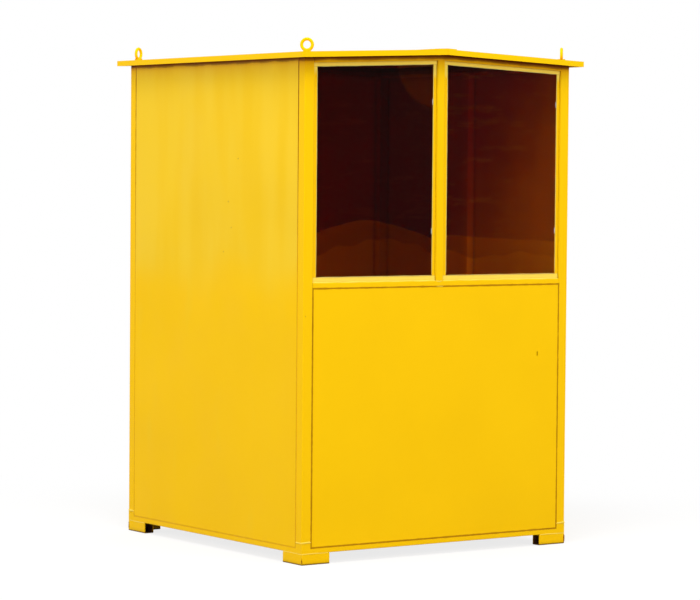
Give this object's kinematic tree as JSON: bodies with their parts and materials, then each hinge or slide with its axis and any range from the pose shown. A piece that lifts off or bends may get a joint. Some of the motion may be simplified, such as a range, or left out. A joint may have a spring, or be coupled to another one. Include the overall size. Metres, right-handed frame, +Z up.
{
  "type": "one-person steel site cabin",
  "caption": "Small yellow steel site cabin with brown glazed front panes, corner feet, a low gabled roof and lifting eyes at the corners.",
  "frame": {"origin": "centre of the cabin's plan, on the ground under the feet", "axes": "+Z up, -Y out of the glazed front, +X to the right of someone looking at the front"},
  "size_m": [1.596, 1.596, 2.3399],
  "materials": {
    "yellow_paint": "semi gloss",
    "brown_pane": "gloss",
    "zinc": "satin",
    "floor_steel": "matte",
    "dark_handle": "satin"
  },
  "bodies": {
    "root": {"foot_front_left": "yellow_paint", "foot_front_right": "yellow_paint", "foot_rear_left": "yellow_paint", "foot_rear_right": "yellow_paint", "base_rail_front": "yellow_paint", "base_rail_rear": "yellow_paint", "base_rail_left": "yellow_paint", "base_rail_right": "yellow_paint", "post_front_left": "yellow_paint", "post_front_right": "yellow_paint", "post_rear_left": "yellow_paint", "post_rear_right": "yellow_paint", "wall_studs": "yellow_paint", "door_post": "yellow_paint", "door_header": "yellow_paint", "mullion": "yellow_paint", "sill_rail": "yellow_paint", "top_rail_front": "yellow_paint", "top_rail_rear": "yellow_paint", "top_rail_left": "yellow_paint", "top_rail_right": "yellow_paint", "ridge_beam": "yellow_paint", "floor_joists": "yellow_paint", "sheet_front": "yellow_paint", "sheet_left": "yellow_paint", "sheet_right": "yellow_paint", "sheet_rear": "yellow_paint", "window_beads_left": "yellow_paint", "window_beads_right": "yellow_paint", "roof_sheet_left": "yellow_paint", "roof_sheet_right": "yellow_paint", "roof_rims_side": "yellow_paint", "roof_rims_end": "yellow_paint", "ridge_cap": "yellow_paint", "lifting_eye_front_left": "yellow_paint", "lifting_eye_front_right": "yellow_paint", "lifting_eye_rear_left": "yellow_paint", "lifting_eye_rear_right": "yellow_paint", "door_leaf": "yellow_paint", "floor_plate": "floor_steel", "window_glass_left": "brown_pane", "window_glass_right": "brown_pane", "glazing_clips": "zinc", "door_hinges": "zinc", "door_handle": "dark_handle"}
  },
  "joints": []
}
